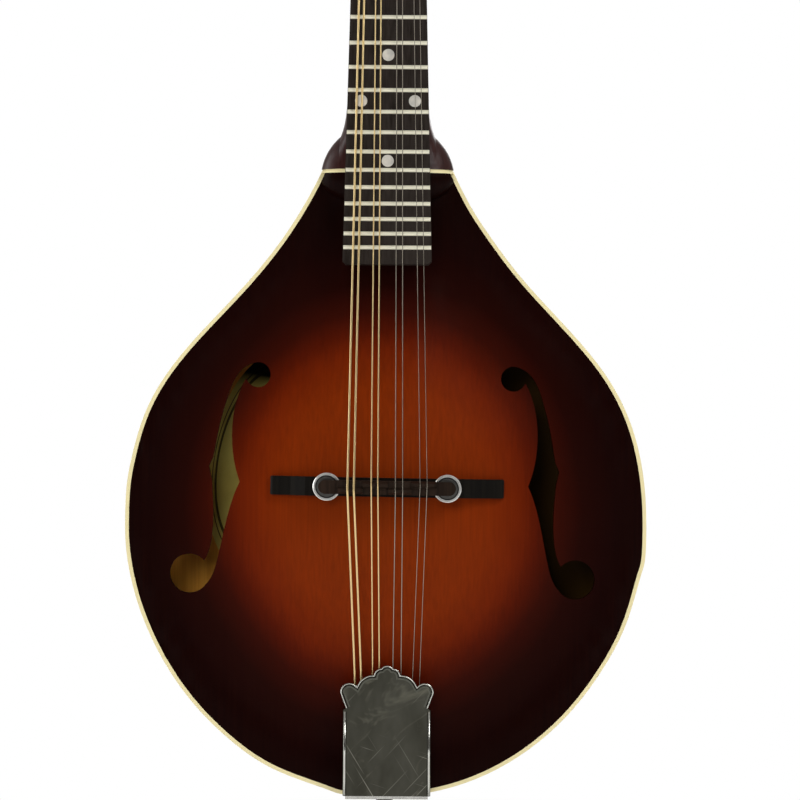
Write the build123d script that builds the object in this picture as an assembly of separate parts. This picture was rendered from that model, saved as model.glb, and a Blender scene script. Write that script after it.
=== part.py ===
"""A-style mandolin with an arched, f-holed body, open-geared tuners and an adjustable bridge.

Modelled in millimetres in a bench frame: x to the treble side, y up the neck, z out of the top.
Every piece is turned at the end into the part's own frame, which stands upright: +X to the
treble side, +Z up the neck, -Y out of the top, with the origin at the strap button's head.
"""
from build123d import *
import math
import os

# ---------------------------------------------------------------- driving dimensions
SCALE_LENGTH = 352.4          # nut to bridge, 13 7/8 in
FRETS = 20
BODY_LENGTH = 300.4           # tail end to the neck joint
BODY_HALF_WIDTH = 125.0
WAIST_Y = 129.0               # where the body is widest
JOINT_HALF_WIDTH = 31.1       # body half width at the neck joint
RIB_HALF_DEPTH = 18.0         # ribs run from -18 to +18
PLATE = 4.5                   # thickness of the carved top and back
TOP_ARCH = 14.5
BACK_ARCH = 11.0
ARCH_Y = 142.0                # centre of both arches
RECURVE = 0.8                 # how far the channel near the edge dips
RIB = 2.2
LINING = 4.0
BINDING = 1.8
RIM = RIB_HALF_DEPTH + PLATE  # height of the flat rim, top and back

NECK_ANGLE = 5.5              # fingerboard plane against the rim plane
BOARD_AT_BRIDGE = RIM + 28.1  # fingerboard plane carried on to the bridge line
BRIDGE_LINE_Y = 152.0
BOARD = 5.0
BOARD_END_Y = 254.6
BOARD_NUT_W = 30.8
BOARD_END_W = 42.4
NUT = 4.8
FRET_W = 2.0
FRET_H = 1.0

HEAD_ANGLE = 14.0             # headstock against the neck
HEAD = 14.5
HEAD_LENGTH = 158.0
VENEER = 1.6
ROD_COVER = 1.4
POST_SPACING = 23.4
POST_X = 20.0
FIRST_POST = 38.0
POST_R = 3.0
GEAR_TEETH = 14
GEAR_MODULE = 0.8
WORM_PITCH = math.pi * GEAR_MODULE
WORM_OFFSET = 8.0             # worm axis to post axis
WORM_DEPTH = 18.9             # worm axis below the headstock's face
TUNER_PLATE = 1.2

F_TURN = -0.7                 # the f-holes and bridge sit turned a little on the top
F_SHIFT = -1.0
BRIDGE_SHIFT = 0.6            # the bridge stands a little to the treble side
BRIDGE_Y = 148.6
STUD_X = 28.6
STUD_R = 2.0
WHEEL_R = 6.6
WHEEL = 2.2
WHEEL_Z = 43.8
SADDLE_Z = WHEEL_Z + WHEEL + 0.02
STRING_Z = 55.0               # underside of the strings on the saddle

BUTTON_HEAD_Y = -10.5         # middle of the strap button's head

# Each string: note, radius, x at the nut, x from the middle of the saddle, x from the middle of the
# tailpiece, and how far its bearing stands forward on the saddle.
STRINGS = [
    ("G", 0.51, -12.1, -18.6, -14.1, -1.5),
    ("G", 0.51, -9.9, -15.6, -11.1, -1.5),
    ("D", 0.33, -5.9, -7.4, -6.5, 1.2),
    ("D", 0.33, -3.6, -4.3, -3.3, 1.2),
    ("A", 0.20, 3.6, 4.0, 2.4, -1.5),
    ("A", 0.20, 5.9, 7.4, 6.5, -1.5),
    ("E", 0.14, 9.9, 15.6, 11.2, 1.7),
    ("E", 0.14, 12.4, 18.9, 14.6, 1.7),
]
TAIL_SHIFT = 1.1              # the tailpiece sits a little to the treble side
HOOK_Y = 27.0
HOOK_Z = 26.4

TO_PART = Pos(0, 0, -BUTTON_HEAD_Y) * Rot(90, 0, 0)
SLOPE = math.tan(math.radians(NECK_ANGLE))


def save(name, shape):
    """Turns a bench-frame shape into the part's frame and writes it."""
    solids = [s for item in (shape if isinstance(shape, list) else [shape]) for s in item.solids()]
    moved = [TO_PART * s for s in solids]
    export_step(moved[0] if len(moved) == 1 else Compound(children=moved), f"parts/{name}.step")


def block(x, y, z):
    """A box from three (low, high) pairs."""
    size = [pair[1] - pair[0] for pair in (x, y, z)]
    centre = [(pair[1] + pair[0]) / 2 for pair in (x, y, z)]
    return Pos(*centre) * Box(*size)


def both(shape):
    """The shape and its mirror image on the other side of the centreline."""
    return [shape, mirror(shape, Plane.YZ)]


# ---------------------------------------------------------------- body outline and arches
def bezier_point(points, t):
    """A point of a cubic Bezier, for working out the arch."""
    a, b, c, d = points
    s = 1 - t
    return [s**3 * a[i] + 3 * s * s * t * b[i] + 3 * s * t * t * c[i] + t**3 * d[i] for i in (0, 1)]


def bezier_direction(points, t):
    """The unit tangent of a cubic Bezier."""
    a, b, c, d = points
    s = 1 - t
    x, y = [s * s * (b[i] - a[i]) + 2 * s * t * (c[i] - b[i]) + t * t * (d[i] - c[i]) for i in (0, 1)]
    return x / math.hypot(x, y), y / math.hypot(x, y)


LOWER = [(0, 0), (77.3, 0), (BODY_HALF_WIDTH, WAIST_Y - 55.4), (BODY_HALF_WIDTH, WAIST_Y)]
SHOULDER = [
    (BODY_HALF_WIDTH, WAIST_Y),
    (BODY_HALF_WIDTH, WAIST_Y + 92.4),
    (69.8, 217.8),
    (JOINT_HALF_WIDTH, BODY_LENGTH),
]


def inset(distance):
    """The body's plan, to the outside of the ribs, moved in by a distance."""
    sides = []
    for curve in (LOWER, SHOULDER):
        points = []
        for i in range(9):
            x, y = bezier_point(curve, i / 8)
            along_x, along_y = bezier_direction(curve, i / 8)
            points.append((x - distance * along_y, y + distance * along_x))
        sides.append(points)
    lean = math.atan2(SHOULDER[2][0] - SHOULDER[3][0], SHOULDER[3][1] - SHOULDER[2][1])
    corner = JOINT_HALF_WIDTH - distance * (1 - math.sin(lean)) / math.cos(lean)
    sides[1][-1] = (corner, BODY_LENGTH - distance)
    ends = [[(1, 0), (0, 1)], [(0, 1), (-math.sin(lean), math.cos(lean))]]
    edges = [Line((corner, BODY_LENGTH - distance), (-corner, BODY_LENGTH - distance))]
    for points, tangents in zip(sides, ends):
        edges.append(Spline(*points, tangents=tangents))
        left = [(-x, y) for x, y in reversed(points)]
        edges.append(Spline(*left, tangents=[(x, -y) for x, y in reversed(tangents)]))
    return make_face(edges)


def radius_table():
    """Distance from the arch centre to the outline, by angle from the tail, on one side."""
    samples = [bezier_point(c, i / 120) for c in (LOWER, SHOULDER) for i in range(121)]
    samples += [(JOINT_HALF_WIDTH * (1 - i / 20), BODY_LENGTH) for i in range(1, 21)]
    return [(math.atan2(x, ARCH_Y - y), math.hypot(x, y - ARCH_Y)) for x, y in samples]


TABLE = radius_table()


def share_of_radius(x, y):
    """0 at the arch centre and 1 on the outline."""
    angle = math.atan2(abs(x), ARCH_Y - y)
    reach = TABLE[-1][1]
    for (a0, r0), (a1, r1) in zip(TABLE, TABLE[1:]):
        if a0 <= angle <= a1:
            reach = r0 + (r1 - r0) * (angle - a0) / max(a1 - a0, 1e-9)
            break
    return math.hypot(x, y - ARCH_Y) / reach


CHANNEL, FLAT = 0.865, 0.93   # where the recurve is deepest, and where the rim is flat again


def arch_height(x, y, arch):
    """Height of a carved plate over its rim."""
    share = share_of_radius(x, y)
    if share >= FLAT:
        return 0.0
    if share >= CHANNEL:
        turn = math.pi * (share - CHANNEL) / (FLAT - CHANNEL)
        return -RECURVE * (0.5 + 0.5 * math.cos(turn))
    turn = math.pi * (share / CHANNEL) ** 1.15
    return -RECURVE + (arch + RECURVE) * (0.5 + 0.5 * math.cos(turn))


def arch_surface(arch):
    """The outer face of a carved plate, over a rectangle larger than the body."""
    columns, rows = 41, 51
    half, low, high = BODY_HALF_WIDTH + 5, -5, BODY_LENGTH + 5
    points = []
    for i in range(columns):
        x = -half + 2 * half * i / (columns - 1)
        heights = [low + (high - low) * j / (rows - 1) for j in range(rows)]
        points.append([Vector(x, y, RIM + arch_height(x, y, arch)) for y in heights])
    return Face.make_surface_from_array_of_points(points, tol=0.02)


TOP_SURFACE = arch_surface(TOP_ARCH)
BACK_SURFACE = arch_surface(BACK_ARCH)


def prism(face, low, high):
    """A flat face at z = 0 extruded from one height to another."""
    return Pos(0, 0, low) * extrude(face, amount=high - low, dir=(0, 0, 1))


def ring(outer, inner, low, high):
    """A band that follows the outline."""
    return prism(inset(outer), low, high) - prism(inset(inner), low - 1, high + 1)


PLATE_SEAT = 0.1              # the plates clear the ribs by this much, for glue


def below(surface, depth, drop=0.0):
    """Everything from a surface down to a depth under it."""
    return Pos(0, 0, -drop) * Solid.extrude(surface, Vector(0, 0, -depth))


def between_plates(shape):
    """The part of a shape that lies inside the body, clear of both carved plates."""
    inside_top = below(TOP_SURFACE, 60, PLATE + 0.03)
    inside_back = mirror(below(BACK_SURFACE, 60, PLATE + 0.03), Plane.XY)
    return shape & inside_top & inside_back


# ---------------------------------------------------------------- frames of the neck and headstock
NUT_Y = BRIDGE_LINE_Y + SCALE_LENGTH * math.cos(math.radians(NECK_ANGLE))
NUT_Z = BOARD_AT_BRIDGE - SLOPE * (NUT_Y - BRIDGE_LINE_Y)
NECK = Pos(0, NUT_Y, NUT_Z) * Rot(-NECK_ANGLE, 0, 0)
HEADSTOCK = NECK * Pos(0, NUT, -2.0) * Rot(-HEAD_ANGLE, 0, 0)
BOARD_LENGTH = (NUT_Y - BOARD_END_Y) / math.cos(math.radians(NECK_ANGLE))


def board_z(y):
    """Height of the fingerboard's face at a place along the body."""
    return BOARD_AT_BRIDGE - SLOPE * (y - BRIDGE_LINE_Y)


def board_half(y):
    """Half width of the fingerboard, in the neck's frame."""
    return (BOARD_NUT_W + (BOARD_END_W - BOARD_NUT_W) * -y / BOARD_LENGTH) / 2


def fret_y(number):
    """Place of a fret in the neck's frame."""
    return -SCALE_LENGTH * (1 - 2 ** (-number / 12))


def post_place(i):
    """Where string i's post stands on the headstock: x and distance from the nut."""
    order = i if i < 4 else 7 - i
    return (POST_X if i > 3 else -POST_X), FIRST_POST + POST_SPACING * order


# ---------------------------------------------------------------- screws
SCREW_R = 1.0
SCREW_LENGTH = 8.0


def screw():
    """A small round-headed wood screw, head up, sitting on z = 0."""
    head = Pos(0, 0, -1.5) * Sphere(2.7) & block((-3, 3), (-3, 3), (0, 2))
    slot = block((-3, 3), (-0.3, 0.3), (0.7, 2))
    shank = Pos(0, 0, -SCREW_LENGTH / 2) * Cylinder(SCREW_R, SCREW_LENGTH)
    return head + shank - slot


def screw_hole():
    return Pos(0, 0, -SCREW_LENGTH / 2 + 1) * Cylinder(SCREW_R, SCREW_LENGTH + 2)


PLATE_SCREWS = [HEADSTOCK * Pos(side * POST_X, u, -HEAD - TUNER_PLATE) * Rot(180, 0, 0)
                for side in (-1, 1) for u in (27.5, 75.0, 121.0)]
COVER_SCREWS = [HEADSTOCK * Pos(x, u, ROD_COVER) for x, u in ((0, 31.5), (-6.5, 4.0), (6.5, 4.0))]
TAIL_SCREWS = [Pos(x, -1.2, z) * Rot(90, 0, 0) for x, z in ((-13.4, 13.0), (13.4, 13.0), (0, -13.0))]
ALL_SCREWS = PLATE_SCREWS + COVER_SCREWS + TAIL_SCREWS


def drilled(shape, places):
    for place in places:
        shape -= place * screw_hole()
    return shape


# ---------------------------------------------------------------- top
SWELL_Y, SWELL_X, SWELL_LENGTH, SWELL_HEIGHT = 296.4, 32.0, 14.4, 11.6
EAR_LENGTH = 28.0             # the same shoulders run this far up the neck


def swell(low_y, high_y, edge):
    """A slice of the raised shoulders at the end of the top, beside the fingerboard."""
    egg = Pos(0, SWELL_Y, RIM) * scale(Sphere(1), by=(SWELL_X, SWELL_LENGTH, SWELL_HEIGHT))
    egg &= block((-40, 40), (low_y, high_y), (RIM - 0.3, RIM + 20))
    return (egg & prism(inset(edge), 0, 60)) - board_blank()


def neck_extension():
    """The tongue of the neck that carries the fingerboard over the top."""
    end, seat = BOARD_END_Y + 4.0, RIM + 0.5
    under = BOARD / math.cos(math.radians(NECK_ANGLE))
    side = [(BODY_LENGTH, seat), (BODY_LENGTH, board_z(BODY_LENGTH) - under),
            (end, board_z(end) - under), (end, seat + 6.5), (282.0, seat)]
    return extrude(make_face(Plane.YZ * Polyline(*side, close=True)), amount=19.4, both=True)


def f_hole():
    """The treble f-hole's plan."""
    upper, lower = (61.2, 201.2), (92.5, 105.4)
    outer = Spline((61.2, 207.2), (68.6, 203.9), (75.9, 189.6), (79.2, 177.1), (82.0, 161.5))
    belly = Spline((82.5, 150.5), (81.6, 137.1), (81.9, 124.7), (83.9, 114.9), (86.0, 110.9))
    foot = Spline((92.5, 96.0), (82.8, 102.5), (79.0, 113.2), (73.6, 137.3), (69.0, 149.8))
    inner = Spline((69.0, 149.8), (72.2, 161.3), (73.2, 174.6), (71.5, 187.9), (67.2, 199.0))
    lines = [Line((82.0, 161.5), (84.0, 157.0)), Line((84.0, 157.0), (82.5, 150.5)),
             Line((86.0, 110.9), lower), Line(lower, (92.5, 96.0)),
             Line((67.2, 199.0), upper), Line(upper, (61.2, 207.2))]
    stem = make_face([outer, belly, foot, inner] + lines)
    return stem + Pos(*upper) * Circle(6.0) + Pos(*lower) * Circle(9.4)


def on_top(shape, shift=F_SHIFT):
    """Turns a shape about the bridge's middle, as the f-holes and bridge are."""
    return Pos(shift, BRIDGE_Y, 0) * Rot(0, 0, F_TURN) * Pos(0, -BRIDGE_Y, 0) * shape


def on_bridge(shape, x=0.0):
    """Sets a shape made about the bridge's middle on its place on the top."""
    return on_top(Pos(x, BRIDGE_Y, 0) * shape, BRIDGE_SHIFT)


def top_plate():
    plate = below(TOP_SURFACE, PLATE - PLATE_SEAT) & prism(inset(BINDING), 0, 60)
    plate = plate + swell(SWELL_Y - SWELL_LENGTH, BODY_LENGTH - BINDING, BINDING) - neck_extension()
    for hole in both(prism(f_hole(), 10, 50)):
        plate -= on_top(hole)
    return plate


def back_plate():
    return mirror(below(BACK_SURFACE, PLATE - PLATE_SEAT) & prism(inset(BINDING), 0, 60), Plane.XY)


def front_binding():
    band = ring(0, BINDING, RIB_HALF_DEPTH, RIM)
    stripe = swell(BODY_LENGTH - BINDING, BODY_LENGTH, 0)
    return band + stripe - neck_extension()


def back_binding():
    return ring(0, BINDING, -RIM, -RIB_HALF_DEPTH)


# ---------------------------------------------------------------- ribs and inside pieces
TENON_X, TENON_Y = 12.0, 14.0


def tenon():
    return block((-TENON_X, TENON_X), (BODY_LENGTH - TENON_Y, BODY_LENGTH + 2), (-16, 16))


BUTTON_SHANK = 3.0
RELIEF = 0.8                  # the ribs' inner edges are eased by this much under the plates


def button_hole():
    return Pos(0, 0, 0) * Rot(90, 0, 0) * Cylinder(BUTTON_SHANK, 34)


def ribs():
    band = ring(0, RIB, -RIB_HALF_DEPTH, RIB_HALF_DEPTH)
    for low in (-RIB_HALF_DEPTH - 1, RIB_HALF_DEPTH - RELIEF):
        band -= ring(BINDING - 0.05, RIB + 1, low, low + RELIEF + 1)
    band = drilled(band - tenon() - button_hole(), TAIL_SCREWS)
    return [band & block((-200, 0), (-5, 400), (-30, 30)), band & block((0, 200), (-5, 400), (-30, 30))]


def neck_block():
    shape = block((-26, 26), (262, BODY_LENGTH - RIB), (-RIM, RIM))
    return between_plates(shape) - tenon()


def tail_block():
    shape = block((-22, 22), (0, 20), (-RIM, RIM)) & prism(inset(RIB), -30, 30)
    return drilled(between_plates(shape) - button_hole(), TAIL_SCREWS)


def linings():
    strips = []
    high = RIB_HALF_DEPTH - RELIEF
    for low in (high - 6, -high):
        strip = ring(RIB, RIB + LINING, low, low + 6)
        strip -= block((-26, 26), (262, 310), (-30, 30))
        strips.append(strip - block((-22, 22), (0, 20), (-30, 30)))
    return strips


def tone_bars():
    bar = Pos(26, 152, 30) * Rot(0, 0, 5) * Box(6, 176, 40)
    slab = below(TOP_SURFACE, 11, PLATE + 0.03) & bar
    return both(slab)


def label():
    """The printed oval label, stuck inside the back under the bass f-hole."""
    oval = Pos(-59.3, 159.3, 0) * Rot(0, 0, -10.3) * Ellipse(27.6, 55)
    return mirror(below(BACK_SURFACE, 0.3, PLATE) & prism(oval, 0, 60), Plane.XY)


# ---------------------------------------------------------------- neck
def neck_section(y, top_half, side_half, side_drop, depth, fullness):
    """A D-shaped section of the neck: flat on top, rounded behind."""
    top = board_z(y) - BOARD / math.cos(math.radians(NECK_ANGLE))
    half = [(top_half, 0), (side_half, -side_drop), (0, -depth)]
    upper = [half[0], (top_half + (side_half - top_half) * 0.55, -side_drop * 0.12),
             (side_half, -side_drop * 0.62), half[1]]
    lower = [half[1], (side_half * 0.985, -side_drop - (depth - side_drop) * 0.55),
             (side_half * fullness, -depth), half[2]]
    flip = lambda curve: [(-x, z) for x, z in reversed(curve)]
    plane = Plane(origin=(0, y, top), x_dir=(1, 0, 0), z_dir=(0, -1, 0))
    edges = [Line((-top_half, 0), (top_half, 0)), Bezier(*upper), Bezier(*lower),
             Bezier(*flip(lower)), Bezier(*flip(upper))]
    return plane * make_face(edges)


# y, half width at the top, half width at the side, how far down that is, depth, fullness
SHAFT_STATIONS = [
    (NUT_Y + 7.0, 15.5, 15.3, 5.0, 15.6, 0.55),
    (346.0, 19.0, 18.9, 5.2, 17.8, 0.55),
]
HEEL_STATIONS = [
    (346.0, 19.0, 18.9, 5.2, 17.8, 0.55),
    (337.0, 19.2, 19.2, 5.4, 19.0, 0.55),
    (328.0, 19.4, 19.9, 5.9, 24.0, 0.54),
    (319.0, 19.6, 21.6, 6.6, 38.0, 0.52),
    (310.0, 19.8, 25.8, 7.8, 54.0, 0.50),
    (BODY_LENGTH, 20.1, 31.4, 9.2, 60.0, 0.48),
]
HEEL_CAP = 3.0


def head_outline():
    """Half of the headstock's face, from the nut to the crest, mirrored."""
    side = Spline((15.5, -1.0), (16.4, 9.0), (21.0, 17.5), (30.6, 26.0), (32.4, 36.0))
    flank = Line((32.4, 36.0), (34.4, 126.0))
    ear = ThreePointArc((34.4, 126.0), (30.2, 138.5), (17.5, 142.0))
    crest = ThreePointArc((17.5, 142.0), (8.0, 144.6), (0, 151.0))
    half = [side, flank, ear, crest, Line((0, 151.0), (0, -1.0)), Line((0, -1.0), (15.5, -1.0))]
    face = make_face(half)
    return face + mirror(face, Plane.YZ)


def post_holes(radius, low, high):
    return [HEADSTOCK * Pos(*post_place(i), (low + high) / 2) * Cylinder(radius, high - low)
            for i in range(8)]


def truss_pocket():
    return NECK * block((-4.6, 4.6), (8.0, 27.0), (-14.0, 8.0))


def truss_channel():
    return NECK * block((-3, 3), (-238.0, 8.0), (-12.5, -BOARD))


def neck():
    shaft = loft([neck_section(*row) for row in SHAFT_STATIONS]) + (heel() - heel_cap_block())
    shaft += shoulders()
    slab = extrude(head_outline(), amount=HEAD - VENEER, dir=(0, 0, -1))
    slab = HEADSTOCK * Pos(0, 0, -VENEER) * slab
    slab -= NECK * block((-40, 40), (-20, NUT), (-40, 10))
    volute = loft([NECK * Pos(0, y, 0) * Rot(90, 0, 0) * Pos(0, z, 0) * d_face(half, deep)
                   for y, z, half, deep in ((NUT - 3, -6.0, 14.4, 14.2), (NUT + 16, -12.0, 12.5, 8.0))])
    for hole in post_holes(3.3, -20, 1) + post_holes(4.2, -7, 1):
        slab -= hole
    shaft = drilled(shaft + volute + neck_extension() + tenon(), COVER_SCREWS)
    shape = shaft + drilled(slab, PLATE_SCREWS + COVER_SCREWS)
    return shape - truss_pocket() - truss_channel()


def shoulders():
    """The rounded shoulders of the neck that run on from the swell of the top."""
    egg = Pos(0, SWELL_Y, RIM) * scale(Sphere(1), by=(SWELL_X, EAR_LENGTH, SWELL_HEIGHT))
    return (egg & block((-40, 40), (BODY_LENGTH, BODY_LENGTH + 40), (0, 60))) - board_blank()


def heel():
    shape = loft([neck_section(*row) for row in HEEL_STATIONS])
    return shape - block((-40, 40), (280, 360), (-60, -RIM))


def d_face(half, deep):
    """A half-round face hanging from its straight side."""
    curve = Bezier((half, 0), (half, -deep * 0.75), (half * 0.55, -deep), (0, -deep))
    other = Bezier((0, -deep), (-half * 0.55, -deep), (-half, -deep * 0.75), (-half, 0))
    return make_face([Line((-half, 0), (half, 0)), curve, other])


def heel_cap_block():
    return block((-40, 40), (BODY_LENGTH - 5, BODY_LENGTH + 40), (-60, -RIM + HEEL_CAP))


def heel_cap():
    return heel() & heel_cap_block()


# ---------------------------------------------------------------- fingerboard, frets, nut
def board_face():
    end, nut = board_half(-BOARD_LENGTH), board_half(0)
    low = -BOARD_LENGTH
    points = [(-end + 1.5, low), (end - 1.5, low), (end, low + 1.5), (nut, 0), (-nut, 0), (-end, low + 1.5)]
    return make_face(Polyline(*points, close=True))


def board_blank():
    return NECK * extrude(board_face(), amount=BOARD, dir=(0, 0, -1))


def position_dots():
    spots = []
    for fret in (3, 5, 7, 10, 12, 15):
        middle = (fret_y(fret) + fret_y(fret - 1)) / 2
        for x in ((-12.8, 12.8) if fret == 12 else (0,)):
            spots.append(NECK * Pos(x, middle, -0.6) * Cylinder(2.9, 1.2))
        for shift in ((-2.2, 2.2) if fret == 12 else (0,)):
            place = NECK * Pos(-board_half(middle), middle + shift, -BOARD / 2)
            spots.append(place * Rot(0, 90, 0) * Cylinder(0.9, 3.0))
    blank = board_blank()
    return [spot & blank for spot in spots]


def fret(number):
    """One fret: a low crown with a tang that sits in a slot."""
    half = board_half(fret_y(number)) - 0.15
    crown = Pos(0, 0, -0.1) * Rot(0, 90, 0) * Cylinder(1.0, 2 * half)
    crown &= block((-30, 30), (-2, 2), (0, 2))
    tang = block((-half, half), (-0.25, 0.25), (-1.6, 0.05))
    return NECK * Pos(0, fret_y(number), 0) * (crown + tang)


def fingerboard():
    shape = board_blank()
    for dot in position_dots():
        shape -= dot
    for number in range(1, FRETS + 1):
        half = board_half(fret_y(number)) - 0.15
        slot = block((-half, half), (-0.25, 0.25), (-1.6, 1))
        shape -= NECK * Pos(0, fret_y(number), 0) * slot
    return shape


def nut():
    side = [(0, -BOARD), (0, 2.2), (1.2, 2.4), (NUT, 1.7), (NUT, -BOARD)]
    shape = extrude(make_face(Plane.YZ * Polyline(*side, close=True)), amount=15.1, both=True)
    shape = NECK * shape
    for path in string_paths():
        shape -= wire_between(path[2], path[3], path[4] + 0.02, 1.0)
    return shape


# ---------------------------------------------------------------- truss rod
def truss_rod():
    bar = NECK * block((-3, 3), (-238.0, 8.0), (-12.5, -BOARD))
    end = NECK * Pos(0, 13.0, -9.5) * Rot(90, 0, 0) * Cylinder(2.0, 10.0)
    return bar + end


def truss_rod_nut():
    hexagon = extrude(RegularPolygon(3.3, 6), amount=8.0)
    shape = hexagon - Pos(0, 0, 4) * Cylinder(2.06, 9)
    return NECK * Pos(0, 9.2, -9.5) * Rot(-90, 0, 0) * shape


def truss_rod_cover():
    outline = [(-9.5, 1.0), (9.5, 1.0), (9.5, 6.0), (6.0, 13.0), (5.0, 24.0), (3.2, 34.0), (0, 36.0),
               (-3.2, 34.0), (-5.0, 24.0), (-6.0, 13.0), (-9.5, 6.0)]
    plate = extrude(make_face(Polyline(*outline, close=True)), amount=ROD_COVER)
    plate = HEADSTOCK * plate - NECK * block((-20, 20), (-5, NUT), (-10, 10))
    return drilled(plate, COVER_SCREWS)


def head_veneer():
    sheet = HEADSTOCK * extrude(head_outline(), amount=VENEER, dir=(0, 0, -1))
    sheet -= NECK * block((-40, 40), (-20, NUT), (-40, 10))
    sheet -= truss_pocket()
    for hole in post_holes(4.2, -5, 1):
        sheet -= hole
    return drilled(sheet, COVER_SCREWS)


# ---------------------------------------------------------------- tuners
def tuner_plate(side):
    """A strip on the back of the headstock with a pair of lugs for each worm shaft."""
    strip = RectangleRounded(17.0, 104.0, 4.0)
    plate = Pos(side * POST_X, 74.5, -HEAD - TUNER_PLATE) * extrude(strip, amount=TUNER_PLATE)
    for i in range(8):
        x, u = post_place(i)
        if x * side < 0:
            continue
        for low, high in ((13.4, 15.4), (24.6, 26.6)):
            middle = side * (low + high) / 2
            lug = Pos(middle, u + WORM_OFFSET, -WORM_DEPTH) * Rot(0, 90, 0) * Cylinder(2.6, high - low)
            lug += Pos(middle, u + WORM_OFFSET, -(HEAD + WORM_DEPTH) / 2 - 0.3) * Box(
                high - low, 5.2, WORM_DEPTH - HEAD - 0.6)
            plate += lug
        plate -= Pos(side * 20, u + WORM_OFFSET, -WORM_DEPTH) * Rot(0, 90, 0) * Cylinder(1.16, 20)
        plate -= Pos(x, u, -HEAD) * Cylinder(3.3, 5)
    return drilled(HEADSTOCK * plate, PLATE_SCREWS)


def worm_profile():
    """A worm on a plain core, along z, with its thread crossing z = 0 on the +x side."""
    turns = 6
    path = Helix(WORM_PITCH, turns * WORM_PITCH, 2.0)
    plane = Plane(origin=path @ 0, x_dir=(1, 0, 0), z_dir=path % 0)
    tooth = plane * Polygon((-0.6, -0.58), (0.88, -0.24), (0.88, 0.24), (-0.6, 0.58), align=None)
    thread = sweep(tooth, path=path, is_frenet=True)
    thread = Pos(0, 0, -turns * WORM_PITCH / 2) * thread
    return (thread + Cylinder(1.6, turns * WORM_PITCH)) & Cylinder(2.86, 8.2)


def button():
    """An oval tuner button with a collar, along x, its outer end away from x = 0."""
    oval = fillet(extrude(Ellipse(7.5, 6.4), amount=6.4).edges(), 2.4)
    collar = Pos(-7.6, 0, 3.2) * Rot(0, 90, 0) * Cylinder(2.6, 3.4)
    return Pos(0, 0, -3.2) * (oval + collar)


WORM = worm_profile()
BUTTON = button()
BUTTON_X = 47.5
SHAFT_R = 1.1


def key_place(i):
    x, u = post_place(i)
    return HEADSTOCK * Pos(x, u + WORM_OFFSET, -WORM_DEPTH)


def worm_shaft(i):
    """A worm and its shaft, one piece, out to the middle of the button."""
    side = 1 if i > 3 else -1
    turn = Location(Plane(origin=(0, 0, 0), x_dir=(0, -1, 0), z_dir=(1, 0, 0)))
    shaft = Pos(side * 10, 0, 0) * Rot(0, 90, 0) * Cylinder(SHAFT_R, 35)
    return key_place(i) * (turn * WORM + shaft)


def tuner_button(i):
    side = 1 if i > 3 else -1
    knob = BUTTON if side > 0 else mirror(BUTTON, Plane.YZ)
    knob = Pos(side * (BUTTON_X - POST_X), 0, 0) * knob
    return key_place(i) * (knob - Pos(side * 10, 0, 0) * Rot(0, 90, 0) * Cylinder(SHAFT_R, 35))


def gear():
    """A pinion with straight flanks, thickness along z, one gap facing +y."""
    step = 360 / GEAR_TEETH
    pinion = Circle(4.7)
    for k in range(GEAR_TEETH):
        tooth = Polygon((4.4, -0.98), (6.0, -0.4), (6.0, 0.4), (4.4, 0.98), align=None)
        pinion += Rot(0, 0, 90 + step / 2 + k * step) * tooth
    return extrude(pinion - Circle(POST_R), amount=1.0, both=True)


GEAR = gear()


def coil_radius(i):
    return POST_R + 2 * STRINGS[i][1]


COIL_W = 4.8


def string_post(i):
    """A string post with the wound-on string, and its gear."""
    x, u = post_place(i)
    wire = STRINGS[i][1]
    post = Pos(0, 0, -2.9) * Cylinder(POST_R, 35.8)
    post = chamfer(post.edges().sort_by(Axis.Z)[-1], 0.7)
    post += Pos(0, 0, -20.9) * Cylinder(3.6, 0.8)
    post -= Pos(0, 0, 10.5) * Rot(0, 90, 0) * Cylinder(0.9, 8)
    for turn in range(4):
        post += Pos(0, 0, COIL_W + (turn - 1.5) * 2.1 * wire) * Torus(POST_R + 0.8 * wire, wire)
    return [HEADSTOCK * Pos(x, u, 0) * post, HEADSTOCK * Pos(x, u, -WORM_DEPTH) * GEAR]


def post_bushings():
    ferrule = Pos(0, 0, -3.0) * Cylinder(4.2, 8.0) + Pos(0, 0, 0.5) * Cylinder(5.4, 1.0)
    ferrule -= Cylinder(POST_R + 0.06, 30)
    return [HEADSTOCK * Pos(*post_place(i), 0) * ferrule for i in range(8)]


# ---------------------------------------------------------------- bridge
BASE_TOP = 41.4
BASE_LENGTH = 111.4
STUD_TOP = 47.6


def bridge_base():
    half = BASE_LENGTH / 2
    side = [(-half, 20), (-half, 32.6), (-half + 1.0, 33.4), (-46, 36.4), (-39, 40.6), (-36, BASE_TOP)]
    side += [(-x, z) for x, z in reversed(side)]
    blank = extrude(make_face(Plane.XZ * Polyline(*side, close=True)), amount=5, both=True)
    plan = prism(RectangleRounded(BASE_LENGTH, 9.0, 0.7), 0, 60)
    blank &= plan
    blank -= block((-16, 16), (-9, 9), (0, BASE_TOP - 3.4))
    for x in (-STUD_X, STUD_X):
        blank -= Pos(x, 0, 48) * Cylinder(STUD_R, 20)
    return on_bridge(blank) - below(TOP_SURFACE, 40, -0.02)


def bridge_posts():
    stud = Pos(0, 0, STUD_TOP - 4.8) * Cylinder(STUD_R, 9.6)
    return [on_bridge(stud, x) for x in (-STUD_X, STUD_X)]


KNURLS = 36


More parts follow.
